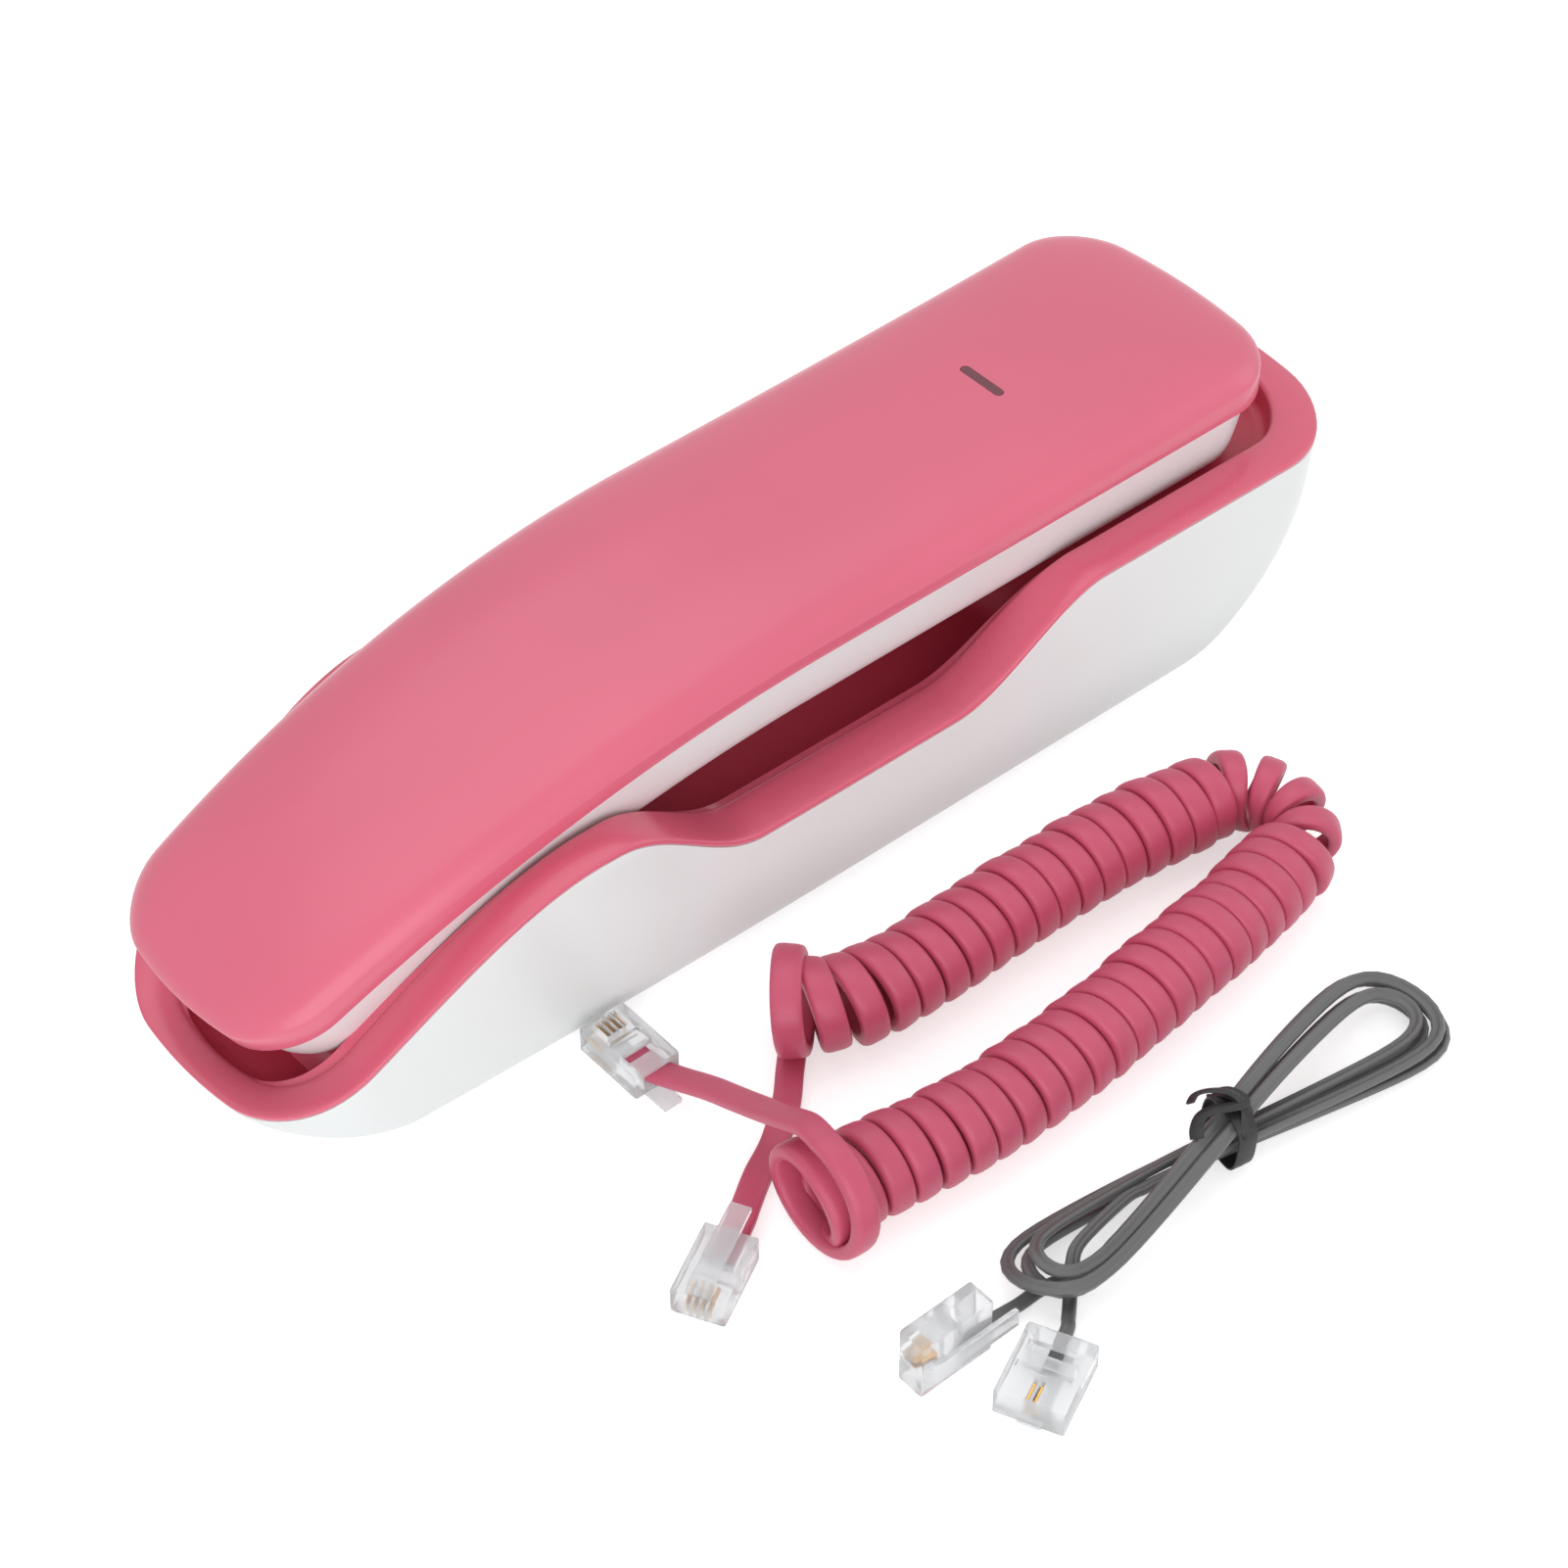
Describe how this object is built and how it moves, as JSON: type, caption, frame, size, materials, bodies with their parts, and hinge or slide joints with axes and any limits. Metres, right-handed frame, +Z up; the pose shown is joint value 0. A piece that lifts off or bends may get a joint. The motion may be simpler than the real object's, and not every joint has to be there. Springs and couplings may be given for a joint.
{
  "type": "compact corded telephone",
  "caption": "Compact bedroom phone: curved lift-off handset with its own keypad lying in a boat-shaped base, with a curly handset cord and a tied line cord beside it.",
  "frame": {"origin": "on the table under the middle of the base", "axes": "+X along the phone towards the ear end, +Z up, +Y towards the side away from the cords"},
  "size_m": [0.1918, 0.1436, 0.051],
  "materials": {
    "pink_plastic": "gloss",
    "white_plastic": "gloss",
    "key_plastic": "satin",
    "black_plastic": "satin",
    "circuit_board": "satin",
    "steel": "satin",
    "rubber_pad": "matte",
    "lamp_smoke": "gloss",
    "lamp_red": "gloss",
    "pink_cord": "satin",
    "grey_cord": "satin",
    "clear_plastic": "gloss"
  },
  "bodies": {
    "base": {"base_shell": "white_plastic", "cradle_tray": "pink_plastic", "base_board": "circuit_board", "hook_switch": "black_plastic", "ringer_buzzer": "black_plastic", "line_jack": "black_plastic", "cord_jack": "black_plastic", "base_screws": "steel", "rubber_feet": "rubber_pad", "ballast_plate": "steel", "curly_coil": "pink_cord", "coil_lead_a": "pink_cord", "coil_lead_b": "pink_cord", "coil_plug_a": "clear_plastic", "coil_plug_b": "clear_plastic", "line_hank": "grey_cord", "line_lead_a": "grey_cord", "line_lead_b": "grey_cord", "line_plug_a": "clear_plastic", "line_plug_b": "clear_plastic", "hank_tie": "black_plastic"},
    "hook_plunger": {"hook_plunger": "white_plastic"},
    "volume_knob": {"volume_knob": "black_plastic"},
    "handset": {"handset_cover": "pink_plastic", "handset_shell": "white_plastic", "lamp_lens": "lamp_smoke", "lamp": "lamp_red", "handset_board": "circuit_board", "keypad_mat": "rubber_pad", "earpiece_capsule": "black_plastic", "microphone_capsule": "black_plastic", "handset_jack": "black_plastic", "handset_screws": "steel"},
    "key_1": {"key_1": "key_plastic"},
    "key_2": {"key_2": "key_plastic"},
    "key_3": {"key_3": "key_plastic"},
    "key_4": {"key_4": "key_plastic"},
    "key_5": {"key_5": "key_plastic"},
    "key_6": {"key_6": "key_plastic"},
    "key_7": {"key_7": "key_plastic"},
    "key_8": {"key_8": "key_plastic"},
    "key_9": {"key_9": "key_plastic"},
    "key_star": {"key_star": "key_plastic"},
    "key_0": {"key_0": "key_plastic"},
    "key_hash": {"key_hash": "key_plastic"},
    "key_flash": {"key_flash": "pink_plastic"},
    "key_redial": {"key_redial": "pink_plastic"},
    "key_mute": {"key_mute": "pink_plastic"}
  },
  "joints": [
    {"name": "handset_lift", "type": "slide", "parent": "base", "child": "handset", "axis": [0, 0, 1], "range_m": [0, 0.08]},
    {"name": "hook_plunger_slide", "type": "slide", "parent": "base", "child": "hook_plunger", "axis": [0, 0, 1], "range_m": [0, 0.003]},
    {"name": "volume_knob_slide", "type": "slide", "parent": "base", "child": "volume_knob", "axis": [1, 0, 0], "range_m": [-0.0027, 0.0027]},
    {"name": "key_1_press", "type": "slide", "parent": "handset", "child": "key_1", "axis": [0, 0, 1], "range_m": [0, 0.0008], "stiffness_N_per_m": 300},
    {"name": "key_2_press", "type": "slide", "parent": "handset", "child": "key_2", "axis": [0, 0, 1], "range_m": [0, 0.0008], "stiffness_N_per_m": 300},
    {"name": "key_3_press", "type": "slide", "parent": "handset", "child": "key_3", "axis": [0, 0, 1], "range_m": [0, 0.0008], "stiffness_N_per_m": 300},
    {"name": "key_4_press", "type": "slide", "parent": "handset", "child": "key_4", "axis": [0, 0, 1], "range_m": [0, 0.0008], "stiffness_N_per_m": 300},
    {"name": "key_5_press", "type": "slide", "parent": "handset", "child": "key_5", "axis": [0, 0, 1], "range_m": [0, 0.0008], "stiffness_N_per_m": 300},
    {"name": "key_6_press", "type": "slide", "parent": "handset", "child": "key_6", "axis": [0, 0, 1], "range_m": [0, 0.0008], "stiffness_N_per_m": 300},
    {"name": "key_7_press", "type": "slide", "parent": "handset", "child": "key_7", "axis": [0, 0, 1], "range_m": [0, 0.0008], "stiffness_N_per_m": 300},
    {"name": "key_8_press", "type": "slide", "parent": "handset", "child": "key_8", "axis": [0, 0, 1], "range_m": [0, 0.0008], "stiffness_N_per_m": 300},
    {"name": "key_9_press", "type": "slide", "parent": "handset", "child": "key_9", "axis": [0, 0, 1], "range_m": [0, 0.0008], "stiffness_N_per_m": 300},
    {"name": "key_star_press", "type": "slide", "parent": "handset", "child": "key_star", "axis": [0, 0, 1], "range_m": [0, 0.0008], "stiffness_N_per_m": 300},
    {"name": "key_0_press", "type": "slide", "parent": "handset", "child": "key_0", "axis": [0, 0, 1], "range_m": [0, 0.0008], "stiffness_N_per_m": 300},
    {"name": "key_hash_press", "type": "slide", "parent": "handset", "child": "key_hash", "axis": [0, 0, 1], "range_m": [0, 0.0008], "stiffness_N_per_m": 300},
    {"name": "key_flash_press", "type": "slide", "parent": "handset", "child": "key_flash", "axis": [0, 0, 1], "range_m": [0, 0.0008], "stiffness_N_per_m": 300},
    {"name": "key_redial_press", "type": "slide", "parent": "handset", "child": "key_redial", "axis": [0, 0, 1], "range_m": [0, 0.0008], "stiffness_N_per_m": 300},
    {"name": "key_mute_press", "type": "slide", "parent": "handset", "child": "key_mute", "axis": [0, 0, 1], "range_m": [0, 0.0008], "stiffness_N_per_m": 300}
  ],
  "couplings": [
    {"joint": "hook_plunger_slide", "follows": "handset_lift", "ratio": 0.0375}
  ]
}
